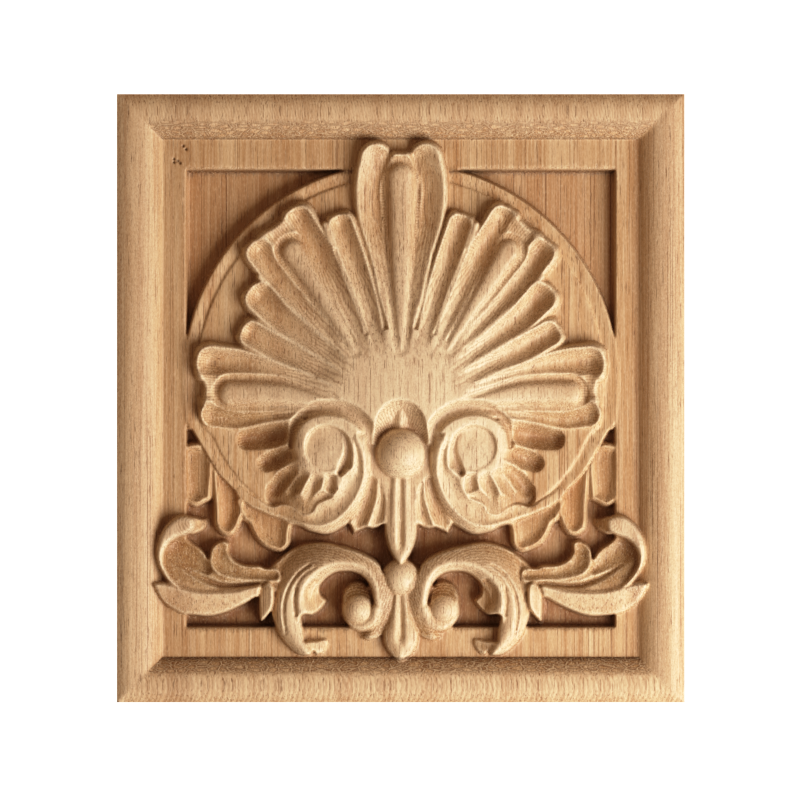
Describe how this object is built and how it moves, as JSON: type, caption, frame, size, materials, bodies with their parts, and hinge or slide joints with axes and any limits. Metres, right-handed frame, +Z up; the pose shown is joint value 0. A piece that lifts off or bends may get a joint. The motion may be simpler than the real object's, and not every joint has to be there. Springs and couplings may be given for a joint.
{
  "type": "corner block",
  "caption": "Carved oak corner block: a rounded frame around a sunk field with a scallop shell on a disc, volutes, hanging drops, scrolls and corner leaves in relief.",
  "frame": {"origin": "middle of the flat back face", "axes": "+Z up along the grain, the carved front looks towards -Y, the back's normal is +Y, and X runs across the block"},
  "size_m": [0.14, 0.0223, 0.15],
  "materials": {
    "oak": "bare, machine carved and lightly sanded, grain upright"
  },
  "bodies": {
    "root": {"carved_block": "oak"}
  },
  "joints": []
}
